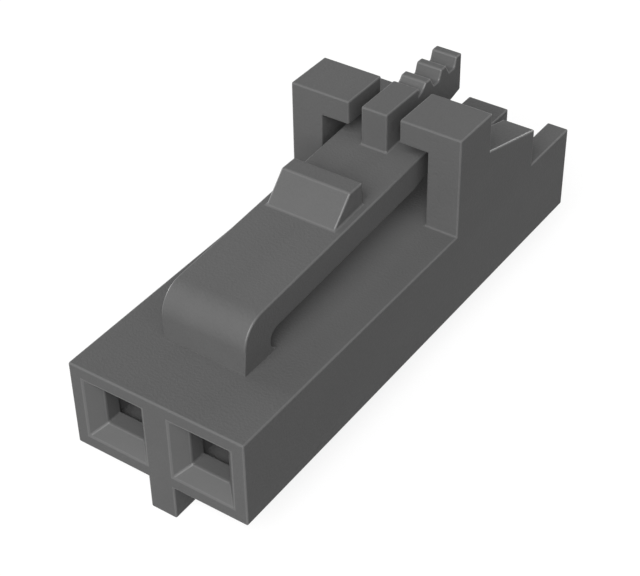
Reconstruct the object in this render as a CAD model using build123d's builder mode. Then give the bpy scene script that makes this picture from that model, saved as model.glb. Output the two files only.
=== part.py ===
from build123d import *

import os
from math import cos, radians, sin, tan

# A two-position receptacle housing with a spring latch, moulded in one piece.
# Sizes are in millimetres. X runs across the positions, Y from the mating face towards the wires,
# and Z up, with the latch on top. The origin is the middle of the mating face.

# Body
pitch = 2.54
positions = 2
side_wall = 0.635
body_height = 2.52
body_length = 15.2

# Sockets, from the mating face inwards
mouth_size = 1.8
pin_hole_size = 1.1
funnel_depth = 0.35
front_wall = 0.82

# Passages that take the crimped contacts, and the open troughs at their wire end
passage_width = 1.27
passage_height = 1.41
trough_length = 2.1

# Windows under the passages, where the lance of each contact snaps in
window_width = 0.9
window_length = 1.9
window_front = 4.7

# Polarising rib under the body
rib_width = 0.76
rib_height = 1.01
rib_length = 7.6

# Latch arm: a root on the body, a curved shoulder and a blade that rises towards the rear
arm_width = 2.44
arm_front = 1.905
arm_corner_height = 1.386
arm_rise = 3.2
arm_thickness = 0.84
root_thickness = 1.0
shoulder_radius = 0.75

# Catch tooth on the arm
tooth_width = 2.02
tooth_front = 5.85
tooth_ramp = 0.69
tooth_flat = 0.535
tooth_height = 0.64

# Guards that stand beside the arm and hook over it
guard_length = 1.53
hook_thickness = 0.68
arm_side_clearance = 0.375
arm_lift_clearance = 0.36
tab_side_clearance = 0.383

# Sloped shoulders behind the guards
slope_length = 2.43
slope_front_height = 1.785
slope_rear_height = 1.12

# Thumb tab on the end of the arm, with its grip
tab_width = 0.766
tab_overhang = 2.14
tab_end_depth = 1.1
first_step_depth = 0.23
first_step_length = 0.345
first_step_hollow = 0.045
ridge_land = 0.23
scoop_count = 2
scoop_pitch = 0.77
scoop_depth = 0.285
scoop_lead = 0.18
scoop_back = 0.1
scoop_radius = 0.09

# Places that follow from the sizes
body_width = (positions - 1) * pitch + passage_width + 2 * side_wall
deck = body_height / 2
trough_front = body_length - trough_length
guard_rear = trough_front - slope_length
guard_front = guard_rear - guard_length
arm_slope = tan(radians(arm_rise))


def arm_top(y):
    """Height of the arm's upper face."""
    return deck + arm_corner_height + (y - arm_front) * arm_slope


def arm_underside(y):
    """Height of the arm's lower face, ahead of the guards."""
    return arm_top(y) - arm_thickness


hook_underside = arm_top(guard_rear) + arm_lift_clearance
guard_top = hook_underside + hook_thickness
leg_inside = arm_width / 2 + arm_side_clearance
hook_reach = tab_width / 2 + tab_side_clearance
tab_top = guard_top
tab_rear = guard_rear + tab_overhang
tab_tip = tab_top - tab_end_depth


def relief(y):
    """Height of the slanted face that clears the deck when the tab is pressed."""
    run = (y - guard_front) / (tab_rear - guard_front)
    return arm_underside(guard_front) + run * (tab_tip - arm_underside(guard_front))


# One guard on the right-hand side, with the sloped shoulder behind it
with BuildPart() as guard:
    with BuildSketch(Plane.XZ.offset(-guard_front)):
        with BuildLine():
            Polyline(
                (leg_inside, deck),
                (body_width / 2, deck),
                (body_width / 2, guard_top),
                (hook_reach, guard_top),
                (hook_reach, hook_underside),
                (leg_inside, hook_underside),
                close=True,
            )
        make_face()
    extrude(amount=-guard_length)
    with BuildSketch(Plane.YZ.offset(leg_inside)):
        with BuildLine():
            Polyline(
                (guard_rear, deck),
                (guard_rear, deck + slope_front_height),
                (trough_front, deck + slope_rear_height),
                (trough_front, deck),
                close=True,
            )
        make_face()
    extrude(amount=body_width / 2 - leg_inside)

# The latch: arm, catch tooth and thumb tab
slot_front = arm_front + root_thickness
slot_height = arm_underside(slot_front) - deck
rise = radians(arm_rise)
slot_radius = slot_height * cos(rise) / (1 + cos(rise) - sin(rise))
slot_centre = (slot_front + slot_radius, deck + slot_radius)
slot_tangent = (slot_centre[0] - slot_radius * sin(rise), slot_centre[1] + slot_radius * cos(rise))

with BuildPart() as latch:
    with BuildSketch(Plane.YZ):
        with BuildLine():
            Polyline(
                (slot_centre[0], deck),
                (arm_front, deck),
                (arm_front, arm_top(arm_front)),
                (guard_rear, arm_top(guard_rear)),
                (guard_rear, relief(guard_rear)),
                (guard_front, arm_underside(guard_front)),
                slot_tangent,
            )
            CenterArc(slot_centre, slot_radius, 90 + arm_rise, 180 - arm_rise)
        make_face()
        outer_corner = vertices().group_by(Axis.X)[0].sort_by(Axis.Y)[-1]
        fillet(outer_corner, shoulder_radius)
    extrude(amount=arm_width / 2, both=True)

    # Catch tooth: a ramp, a flat crest and an upright locking face
    tooth_crest = tooth_front + tooth_ramp
    tooth_rear = tooth_crest + tooth_flat
    tooth_top = arm_top(tooth_rear) + tooth_height
    with BuildSketch(Plane.YZ):
        with BuildLine():
            Polyline(
                (tooth_front, arm_top(tooth_front)),
                (tooth_crest, tooth_top),
                (tooth_rear, tooth_top),
                (tooth_rear, arm_top(tooth_rear)),
                close=True,
            )
        make_face()
    extrude(amount=tooth_width / 2, both=True)

    # Thumb tab: a block between the hooks, then a tail with a slanted underside
    first_ridge = guard_rear + first_step_length
    with BuildSketch(Plane.YZ):
        with BuildLine():
            Polyline(
                (first_ridge, tab_top),
                (tab_rear, tab_top),
                (tab_rear, tab_tip),
                (guard_front, arm_underside(guard_front)),
                (guard_front, tab_top),
                (guard_rear, tab_top),
                (guard_rear, tab_top - first_step_depth),
            )
            SagittaArc(
                (guard_rear, tab_top - first_step_depth),
                (first_ridge, tab_top),
                -first_step_hollow,
            )
        make_face()
    extrude(amount=tab_width / 2, both=True)

    # Grip: scoops across the tail, each with a straight lead and a round back
    for index in range(scoop_count):
        lead = first_ridge + ridge_land + index * scoop_pitch
        back = lead + scoop_pitch - ridge_land
        with BuildSketch(Plane.YZ):
            with BuildLine():
                Polyline(
                    (lead, tab_top),
                    (lead + scoop_lead, tab_top - scoop_depth),
                    (back - scoop_back, tab_top - scoop_depth),
                    (back, tab_top),
                    close=True,
                )
            make_face()
            root = vertices().group_by(Axis.Y)[0].sort_by(Axis.X)[-1]
            fillet(root, scoop_radius)
        extrude(amount=tab_width / 2, both=True, mode=Mode.SUBTRACT)

# The hollow of one position: a square funnel, a short pin hole, the contact passage behind it,
# the open trough at the wire end and the window in the floor
with BuildPart() as hollow:
    with BuildSketch(Plane.XZ):
        Rectangle(mouth_size, mouth_size)
    with BuildSketch(Plane.XZ.offset(-funnel_depth)):
        Rectangle(pin_hole_size, pin_hole_size)
    loft()
    pin_hole = faces().sort_by(Axis.Y)[-1]
    extrude(pin_hole, amount=front_wall - funnel_depth)
    with BuildSketch(Plane.XZ.offset(-front_wall)):
        Rectangle(passage_width, passage_height)
    extrude(amount=front_wall - body_length)
    with BuildSketch(Plane.XZ.offset(-trough_front)):
        Rectangle(passage_width, deck, align=(Align.CENTER, Align.MIN))
    extrude(amount=-trough_length)
    with BuildSketch(Plane.XY):
        with Locations((0, window_front)):
            Rectangle(window_width, window_length, align=(Align.CENTER, Align.MIN))
    extrude(amount=-deck)

# The housing: body, rib, guards on both sides and the latch between them, less the hollows
with BuildPart() as housing:
    with BuildSketch(Plane.XZ):
        Rectangle(body_width, body_height)
    extrude(amount=-body_length)
    with BuildSketch(Plane.XZ):
        with Locations((0, -deck)):
            Rectangle(rib_width, rib_height, align=(Align.CENTER, Align.MAX))
    extrude(amount=-rib_length)
    add(guard.part)
    mirror(guard.part, about=Plane.YZ)
    add(latch.part)
    with GridLocations(pitch, pitch, positions, 1):
        add(hollow.part, mode=Mode.SUBTRACT)

housing.part.label = "housing"

os.makedirs("parts", exist_ok=True)
export_step(housing.part, "parts/housing.step")
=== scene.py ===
"""The looks of a wire-to-board connector housing: its moulded surface, a small studio and the camera."""

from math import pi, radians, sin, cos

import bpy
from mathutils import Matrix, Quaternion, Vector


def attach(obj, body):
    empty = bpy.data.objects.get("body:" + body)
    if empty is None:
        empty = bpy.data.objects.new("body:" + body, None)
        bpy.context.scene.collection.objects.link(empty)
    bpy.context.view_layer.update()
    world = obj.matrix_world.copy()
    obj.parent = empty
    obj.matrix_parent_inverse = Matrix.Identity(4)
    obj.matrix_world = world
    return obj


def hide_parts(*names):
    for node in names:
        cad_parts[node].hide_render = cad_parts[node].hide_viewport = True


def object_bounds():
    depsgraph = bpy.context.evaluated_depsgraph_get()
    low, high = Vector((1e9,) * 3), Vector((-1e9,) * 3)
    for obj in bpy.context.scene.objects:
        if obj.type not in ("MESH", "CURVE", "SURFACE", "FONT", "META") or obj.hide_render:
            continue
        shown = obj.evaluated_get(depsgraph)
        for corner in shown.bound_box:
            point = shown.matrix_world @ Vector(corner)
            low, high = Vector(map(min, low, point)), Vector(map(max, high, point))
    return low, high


bl_info = {
    "name": "Connector Housing",
    "version": (1, 0, 0),
    "blender": (4, 5, 0),
    "location": "View3D > Sidebar > Connector",
    "description": "Dresses a moulded connector housing and sets it in a small studio",
    "category": "Object",
}

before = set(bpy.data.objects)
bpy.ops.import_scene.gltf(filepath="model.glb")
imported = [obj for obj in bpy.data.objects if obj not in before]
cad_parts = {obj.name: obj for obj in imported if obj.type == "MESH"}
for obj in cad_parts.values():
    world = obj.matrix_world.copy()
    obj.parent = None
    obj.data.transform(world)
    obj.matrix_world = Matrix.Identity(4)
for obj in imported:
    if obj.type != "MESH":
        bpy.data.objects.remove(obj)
cad_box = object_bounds()

MM = 0.001
SOLID = "housing"
PIECE = "housing_moulding"

# Finishes, in the order of the piece's material slots
OUTSIDE, INSIDE, EDGES = range(3)

# Points closer together than this are one point
SAME_POINT = 0.001 * MM

# The facets of the curved faces turn by less than this, and every crease by more
CREASE = radians(9.5)

# Where the sockets are, as the solid has them
SOCKET_PITCH = 2.54 * MM
SOCKET_HALF_MOUTH = 0.92 * MM

# The sides of the latch arm's foot on the deck, as the solid has them, with some room around them
DECK = 1.26 * MM
FOOT_HALF_WIDTH = 1.3 * MM
FOOT_FRONT = 1.95 * MM
FOOT_REAR = 3.3 * MM
FOOT_ROOM = 0.05 * MM

# Nylon, and how the core pins' faces and the rubbed edges differ from the outside
NYLON_IOR = 1.53
FACE_SPECULAR = 0.15
EDGE_SPECULAR = 0.4
CORE_PIN_SMOOTHER = 0.12
CORE_PIN_DEPTH = 1 / 4
EDGE_DEPTH = 1 / 8

# Flow marks along the moulding, from the noise between two of its values
FLOW_WIDTH = 1.6 * MM
FLOW_STRETCH = (1.0, 0.35, 1.0)
FLOW_LOW = 0.3
FLOW_HIGH = 0.7

# How far the tone and the roughness stray to each side
TONE_SPREAD = 0.03
ROUGHNESS_SPREAD = 0.08

# The floor, whose glow rises to white between these distances from the object
FLOOR_SIZE = 4000 * MM
FLOOR_NEAR = 60 * MM
FLOOR_FAR = 300 * MM

# The lights' distance from the middle of the object, and the widths of the square lights
LIGHT_DISTANCE = 300 * MM
LARGE_LIGHT = 240 * MM
SMALL_LIGHT = 100 * MM

# The camera's sensor, in the millimetres that its lens is in
SENSOR_WIDTH = 36.0


class MouldingSettings(bpy.types.PropertyGroup):
    """Sizes and colours of the moulded surface."""

    edge_radius: bpy.props.FloatProperty(
        name="Edge radius",
        description="Round that the mould leaves on every edge and in every corner",
        default=0.04 * MM,
        min=0.005 * MM,
        max=0.1 * MM,
        precision=5,
        unit="LENGTH",
        subtype="DISTANCE",
    )
    edge_segments: bpy.props.IntProperty(
        name="Edge segments",
        description="Facets across each rounded edge",
        default=2,
        min=1,
        max=6,
    )
    colour: bpy.props.FloatVectorProperty(
        name="Colour",
        description="Colour of the dark grey nylon",
        default=(0.1, 0.1, 0.1),
        min=0.0,
        max=1.0,
        subtype="COLOR",
    )
    roughness: bpy.props.FloatProperty(
        name="Roughness",
        description="Roughness of the spark-eroded outside",
        default=0.72,
        min=0.0,
        max=1.0,
        subtype="FACTOR",
    )
    edge_roughness: bpy.props.FloatProperty(
        name="Edge roughness",
        description="Roughness of the rounded edges, which rub smooth",
        default=0.45,
        min=0.0,
        max=1.0,
        subtype="FACTOR",
    )
    grain_size: bpy.props.FloatProperty(
        name="Grain size",
        description="Width of one grain of the outside texture",
        default=0.07 * MM,
        min=0.01 * MM,
        max=1.0 * MM,
        precision=5,
        unit="LENGTH",
        subtype="DISTANCE",
    )
    grain_depth: bpy.props.FloatProperty(
        name="Grain depth",
        description="Depth of the outside texture",
        default=0.012 * MM,
        min=0.0,
        max=0.05 * MM,
        precision=6,
        unit="LENGTH",
        subtype="DISTANCE",
    )


class StageSettings(bpy.types.PropertyGroup):
    """Levels, colours and places of the studio."""

    floor_colour: bpy.props.FloatVectorProperty(
        name="Floor colour",
        description="Colour of the floor that the object's light and shade fall on",
        default=(0.2, 0.2, 0.2),
        min=0.0,
        max=1.0,
        subtype="COLOR",
    )
    floor_glow: bpy.props.FloatProperty(
        name="Floor glow",
        description="Brightness that the camera sees on top of the lit floor",
        default=0.84,
        min=0.0,
        max=1.0,
    )
    ambient: bpy.props.FloatProperty(
        name="Ambient",
        description="Light from all around, where 1 shows a colour as it is written",
        default=0.03,
        min=0.0,
        max=1.0,
    )
    key_level: bpy.props.FloatProperty(
        name="Key level",
        description="High light in front of the mating face",
        default=1.4,
        min=0.0,
        max=4.0,
    )
    fill_level: bpy.props.FloatProperty(
        name="Fill level",
        description="Weaker light beside the camera, for the right-hand side",
        default=0.34,
        min=0.0,
        max=4.0,
    )
    side_level: bpy.props.FloatProperty(
        name="Side level",
        description="Low light on the left-hand side, away from the camera",
        default=0.5,
        min=0.0,
        max=4.0,
    )
    back_level: bpy.props.FloatProperty(
        name="Back level",
        description="Low light behind the wire end",
        default=0.25,
        min=0.0,
        max=4.0,
    )
    azimuth: bpy.props.FloatProperty(
        name="Azimuth",
        description="Camera's turn about the object, from straight in front of the mating face",
        default=radians(35.112),
        subtype="ANGLE",
    )
    elevation: bpy.props.FloatProperty(
        name="Elevation",
        description="Camera's height above the horizon",
        default=radians(38.511),
        subtype="ANGLE",
    )
    roll: bpy.props.FloatProperty(
        name="Roll",
        description="Camera's turn about its own line of sight",
        default=radians(-1.045),
        subtype="ANGLE",
    )
    distance: bpy.props.FloatProperty(
        name="Distance",
        description="From the camera to the point that it looks at",
        default=42.0 * MM,
        precision=4,
        unit="LENGTH",
        subtype="DISTANCE",
    )
    aim: bpy.props.FloatVectorProperty(
        name="Aim",
        description="Point that the camera looks at",
        default=(-0.234 * MM, 6.981 * MM, -0.156 * MM),
        precision=5,
        unit="LENGTH",
        subtype="XYZ",
    )
    lens: bpy.props.FloatProperty(
        name="Lens",
        description="Focal length in millimetres, on a sensor that is 36 mm wide",
        default=91.09,
        min=10.0,
    )


def deselect_all():
    """Leaves nothing selected, because an operator acts on all that is."""
    bpy.ops.object.select_all(action="DESELECT")


def merged_copy(node, name):
    """A new object with the solid's faces, its loose triangles merged into one skin."""
    deselect_all()
    piece = bpy.data.objects.new(name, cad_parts[node].data.copy())
    bpy.context.scene.collection.objects.link(piece)
    bpy.context.view_layer.objects.active = piece
    piece.select_set(True)
    bpy.ops.object.mode_set(mode="EDIT")
    bpy.ops.mesh.select_all(action="SELECT")
    bpy.ops.mesh.remove_doubles(threshold=SAME_POINT)
    bpy.ops.object.mode_set(mode="OBJECT")
    return piece


def narrows_to_nothing(centre):
    """True for an edge beside the arm's foot, where the slot's start leaves no room for a round."""
    beside_arm = abs(centre.x) < FOOT_HALF_WIDTH and FOOT_FRONT < centre.y < FOOT_REAR
    return beside_arm and abs(centre.z - DECK) < FOOT_ROOM


def round_edges(piece, radius, segments):
    """Rounds every crease, and shades the facets of the curved faces as one smooth face."""
    bpy.ops.object.mode_set(mode="EDIT")
    bpy.ops.mesh.select_mode(type="EDGE")
    bpy.ops.mesh.select_all(action="DESELECT")
    bpy.ops.mesh.edges_select_sharp(sharpness=CREASE)
    bpy.ops.object.mode_set(mode="OBJECT")
    points = piece.data.vertices
    for edge in piece.data.edges:
        start, end = (points[index].co for index in edge.vertices)
        if narrows_to_nothing((start + end) / 2):
            edge.select = False
    bpy.ops.object.mode_set(mode="EDIT")
    bpy.ops.mesh.bevel(
        offset=radius,
        segments=segments,
        clamp_overlap=False,
        loop_slide=False,
        material=EDGES,
    )
    bpy.ops.object.mode_set(mode="OBJECT")
    bpy.ops.object.shade_smooth_by_angle(angle=CREASE)


def inside_socket(centre):
    """True for the middle of a face that a core pin of the mould has formed."""
    aside = abs(abs(centre.x) - SOCKET_PITCH / 2)
    in_line = aside < SOCKET_HALF_MOUTH and abs(centre.z) < SOCKET_HALF_MOUTH
    return in_line and centre.y > SAME_POINT


def moulded_surface_group():
    """Node group for moulded nylon: flow marks in the tone, and the fine texture of the mould."""
    group = bpy.data.node_groups.new("moulded_surface", "ShaderNodeTree")
    socket = group.interface.new_socket
    socket("Colour", in_out="INPUT", socket_type="NodeSocketColor")
    socket("Roughness", in_out="INPUT", socket_type="NodeSocketFloat")
    socket("Grain Scale", in_out="INPUT", socket_type="NodeSocketFloat")
    socket("Colour", in_out="OUTPUT", socket_type="NodeSocketColor")
    socket("Roughness", in_out="OUTPUT", socket_type="NodeSocketFloat")
    socket("Height", in_out="OUTPUT", socket_type="NodeSocketFloat")
    nodes = group.nodes
    link = group.links.new
    given = nodes.new("NodeGroupInput")
    out = nodes.new("NodeGroupOutput")
    place = nodes.new("ShaderNodeTexCoord")

    # Flow marks: broad, faint bands that run along the moulding
    stretch = nodes.new("ShaderNodeMapping")
    stretch.inputs["Scale"].default_value = FLOW_STRETCH
    link(place.outputs["Object"], stretch.inputs["Vector"])
    flow = nodes.new("ShaderNodeTexNoise")
    flow.inputs["Scale"].default_value = 1 / FLOW_WIDTH
    flow.inputs["Detail"].default_value = 3.0
    flow.inputs["Distortion"].default_value = 0.6
    link(stretch.outputs["Vector"], flow.inputs["Vector"])
    tone = nodes.new("ShaderNodeMapRange")
    tone.inputs["From Min"].default_value = FLOW_LOW
    tone.inputs["From Max"].default_value = FLOW_HIGH
    tone.inputs["To Min"].default_value = 1 - TONE_SPREAD
    tone.inputs["To Max"].default_value = 1 + TONE_SPREAD
    link(flow.outputs["Fac"], tone.inputs["Value"])
    tinted = nodes.new("ShaderNodeVectorMath")
    tinted.operation = "SCALE"
    link(given.outputs["Colour"], tinted.inputs["Vector"])
    link(tone.outputs["Result"], tinted.inputs["Scale"])
    link(tinted.outputs["Vector"], out.inputs["Colour"])

    # Texture of the mould: fine pits, which also make the sheen uneven
    grain = nodes.new("ShaderNodeTexNoise")
    grain.inputs["Detail"].default_value = 2.0
    link(place.outputs["Object"], grain.inputs["Vector"])
    link(given.outputs["Grain Scale"], grain.inputs["Scale"])
    link(grain.outputs["Fac"], out.inputs["Height"])
    uneven = nodes.new("ShaderNodeMapRange")
    uneven.inputs["To Min"].default_value = -ROUGHNESS_SPREAD
    uneven.inputs["To Max"].default_value = ROUGHNESS_SPREAD
    link(grain.outputs["Fac"], uneven.inputs["Value"])
    roughened = nodes.new("ShaderNodeMath")
    roughened.operation = "ADD"
    roughened.use_clamp = True
    link(given.outputs["Roughness"], roughened.inputs[0])
    link(uneven.outputs["Result"], roughened.inputs[1])
    link(roughened.outputs["Value"], out.inputs["Roughness"])
    return group


def nylon(name, group, settings, roughness, specular, depth_share):
    """One finish of the dark grey nylon, with its share of the outside texture's depth."""
    material = bpy.data.materials.new(name)
    material.use_nodes = True
    nodes = material.node_tree.nodes
    link = material.node_tree.links.new
    shader = nodes["Principled BSDF"]
    shader.inputs["IOR"].default_value = NYLON_IOR
    shader.inputs["Specular IOR Level"].default_value = specular
    surface = nodes.new("ShaderNodeGroup")
    surface.node_tree = group
    surface.inputs["Colour"].default_value = (*settings.colour, 1.0)
    surface.inputs["Roughness"].default_value = roughness
    surface.inputs["Grain Scale"].default_value = 1 / settings.grain_size
    pits = nodes.new("ShaderNodeBump")
    pits.inputs["Distance"].default_value = settings.grain_depth * depth_share
    link(surface.outputs["Colour"], shader.inputs["Base Color"])
    link(surface.outputs["Roughness"], shader.inputs["Roughness"])
    link(surface.outputs["Height"], pits.inputs["Height"])
    link(pits.outputs["Normal"], shader.inputs["Normal"])
    return material


class OBJECT_OT_housing_moulding(bpy.types.Operator):
    """Add the moulded housing, with rounded edges, in place of the plain solid"""

    bl_idname = "object.housing_moulding"
    bl_label = "Housing Moulding"
    bl_options = {"REGISTER", "UNDO"}

    def execute(self, context):
        settings = context.scene.moulding
        piece = merged_copy(SOLID, PIECE)
        group = moulded_surface_group()
        rough = settings.roughness
        smoother = rough - CORE_PIN_SMOOTHER
        rubbed = settings.edge_roughness
        finishes = (
            nylon("spark_eroded_nylon", group, settings, rough, FACE_SPECULAR, 1),
            nylon("core_pin_nylon", group, settings, smoother, FACE_SPECULAR, CORE_PIN_DEPTH),
            nylon("rubbed_edge_nylon", group, settings, rubbed, EDGE_SPECULAR, EDGE_DEPTH),
        )
        piece.data.materials.clear()
        for finish in finishes:
            piece.data.materials.append(finish)
        for face in piece.data.polygons:
            face.material_index = INSIDE if inside_socket(face.center) else OUTSIDE
        round_edges(piece, settings.edge_radius, settings.edge_segments)
        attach(piece, "root")
        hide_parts(SOLID)
        return {"FINISHED"}


def seen_strength(nodes, link, unseen):
    """Node that is white to the camera, also in a reflection, and has another strength as light."""
    path = nodes.new("ShaderNodeLightPath")
    reflected = nodes.new("ShaderNodeMath")
    reflected.operation = "MAXIMUM"
    link(path.outputs["Is Glossy Ray"], reflected.inputs[0])
    link(path.outputs["Is Transmission Ray"], reflected.inputs[1])
    shown = nodes.new("ShaderNodeMath")
    shown.operation = "MAXIMUM"
    link(path.outputs["Is Camera Ray"], shown.inputs[0])
    link(reflected.outputs["Value"], shown.inputs[1])
    strength = nodes.new("ShaderNodeMix")
    strength.data_type = "FLOAT"
    link(shown.outputs["Value"], strength.inputs["Factor"])
    strength.inputs["A"].default_value = unseen
    strength.inputs["B"].default_value = 1.0
    return strength


def add_world(ambient):
    """A white surround, which lights the object more weakly than it shows."""
    world = bpy.data.worlds.new("surround")
    bpy.context.scene.world = world
    world.use_nodes = True
    nodes = world.node_tree.nodes
    link = world.node_tree.links.new
    background = nodes["Background"]
    background.inputs["Color"].default_value = (1.0, 1.0, 1.0, 1.0)
    strength = seen_strength(nodes, link, ambient)
    link(strength.outputs["Result"], background.inputs["Strength"])


def add_floor(height, colour, glow):
    """A plain pale floor under the object, which keeps its shadow."""
    deselect_all()
    bpy.ops.mesh.primitive_plane_add(size=FLOOR_SIZE, location=(0.0, 0.0, height))
    floor = bpy.context.active_object
    floor.name = "floor"
    material = bpy.data.materials.new("floor")
    material.use_nodes = True
    nodes = material.node_tree.nodes
    link = material.node_tree.links.new
    shader = nodes["Principled BSDF"]
    shader.inputs["Base Color"].default_value = (*colour, 1.0)
    shader.inputs["Roughness"].default_value = 1.0
    shader.inputs["Specular IOR Level"].default_value = 0.0
    shader.inputs["Emission Color"].default_value = (1.0, 1.0, 1.0, 1.0)

    # Further out, where the lamps don't reach, the floor glows as white as the surround
    place = nodes.new("ShaderNodeTexCoord")
    distance = nodes.new("ShaderNodeVectorMath")
    distance.operation = "LENGTH"
    link(place.outputs["Object"], distance.inputs["Vector"])
    fade = nodes.new("ShaderNodeMapRange")
    fade.inputs["From Min"].default_value = FLOOR_NEAR
    fade.inputs["From Max"].default_value = FLOOR_FAR
    fade.inputs["To Min"].default_value = glow
    fade.inputs["To Max"].default_value = 1.0
    link(distance.outputs["Value"], fade.inputs["Value"])
    strength = seen_strength(nodes, link, 0.0)
    link(fade.outputs["Result"], strength.inputs["B"])
    link(strength.outputs["Result"], shader.inputs["Emission Strength"])
    floor.data.materials.append(material)


def around(centre, azimuth, elevation, distance):
    """Point at that distance from the centre, with azimuth 0 straight in front of the mating face."""
    reach = cos(elevation) * distance
    return centre + Vector((sin(azimuth) * reach, -cos(azimuth) * reach, sin(elevation) * distance))


def add_light(name, centre, azimuth, elevation, width, level):
    """A square light that, at level 1, shows a face turned to it about as its colour is written."""
    deselect_all()
    bpy.ops.object.light_add(type="AREA", location=around(centre, azimuth, elevation, LIGHT_DISTANCE))
    lamp = bpy.context.active_object
    lamp.name = name
    lamp.data.shape = "SQUARE"
    lamp.data.size = width
    lamp.data.energy = level * (pi * LIGHT_DISTANCE) ** 2
    lamp.rotation_euler = (centre - lamp.location).to_track_quat("-Z", "Y").to_euler()


def add_lights(centre, stage):
    """Two large soft lights at the front, and smaller ones for the left-hand side and the rear."""
    # Name, degrees of azimuth and elevation, width and level
    lights = (
        ("key", 14, 40, LARGE_LIGHT, stage.key_level),
        ("fill", 55, 28, LARGE_LIGHT, stage.fill_level),
        ("side", 270, 12, SMALL_LIGHT, stage.side_level),
        ("back", 180, 12, SMALL_LIGHT, stage.back_level),
    )
    for name, azimuth, elevation, width, level in lights:
        add_light(name, centre, radians(azimuth), radians(elevation), width, level)


def add_camera(stage):
    """The camera, at the photograph's viewing angle."""
    aim = Vector(stage.aim)
    deselect_all()
    bpy.ops.object.camera_add(location=around(aim, stage.azimuth, stage.elevation, stage.distance))
    camera = bpy.context.active_object
    camera.name = "camera"
    upright = (aim - camera.location).to_track_quat("-Z", "Y")
    turned = upright @ Quaternion((0.0, 0.0, 1.0), stage.roll)
    camera.rotation_euler = turned.to_euler()
    camera.data.lens = stage.lens
    camera.data.sensor_width = SENSOR_WIDTH
    camera.data.clip_start = 1.0 * MM
    camera.data.clip_end = 10.0
    bpy.context.scene.camera = camera


class SCENE_OT_connector_stage(bpy.types.Operator):
    """Add the floor, the white surround, the soft lights and the camera"""

    bl_idname = "scene.connector_stage"
    bl_label = "Stage"
    bl_options = {"REGISTER", "UNDO"}

    def execute(self, context):
        stage = context.scene.stage
        lowest, highest = cad_box
        centre = (lowest + highest) / 2
        add_world(stage.ambient)
        add_floor(lowest.z, stage.floor_colour, stage.floor_glow)
        add_lights(centre, stage)
        add_camera(stage)
        context.scene.view_settings.view_transform = "Standard"
        return {"FINISHED"}


class VIEW3D_PT_connector(bpy.types.Panel):
    """Sidebar panel with the housing, its stage and their settings."""

    bl_label = "Connector Housing"
    bl_idname = "VIEW3D_PT_connector"
    bl_space_type = "VIEW_3D"
    bl_region_type = "UI"
    bl_category = "Connector"

    def draw(self, context):
        layout = self.layout
        moulding = context.scene.moulding
        stage = context.scene.stage
        layout.operator(OBJECT_OT_housing_moulding.bl_idname)
        for name in ("edge_radius", "edge_segments", "edge_roughness"):
            layout.prop(moulding, name)
        for name in ("colour", "roughness", "grain_size", "grain_depth"):
            layout.prop(moulding, name)
        layout.operator(SCENE_OT_connector_stage.bl_idname)
        for name in ("floor_colour", "floor_glow", "ambient"):
            layout.prop(stage, name)
        for name in ("key_level", "fill_level", "side_level", "back_level"):
            layout.prop(stage, name)
        for name in ("azimuth", "elevation", "roll", "distance", "aim", "lens"):
            layout.prop(stage, name)


CLASSES = (
    MouldingSettings,
    StageSettings,
    OBJECT_OT_housing_moulding,
    SCENE_OT_connector_stage,
    VIEW3D_PT_connector,
)


def register():
    """Adds the classes and the scene's settings to Blender."""
    for item in CLASSES:
        bpy.utils.register_class(item)
    bpy.types.Scene.moulding = bpy.props.PointerProperty(type=MouldingSettings)
    bpy.types.Scene.stage = bpy.props.PointerProperty(type=StageSettings)


def unregister():
    """Takes the settings and the classes out again."""
    del bpy.types.Scene.stage
    del bpy.types.Scene.moulding
    for item in reversed(CLASSES):
        bpy.utils.unregister_class(item)


def main():
    """Registers the add-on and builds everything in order."""
    register()
    bpy.ops.object.housing_moulding()
    bpy.ops.scene.connector_stage()


if __name__ == "__main__":
    main()
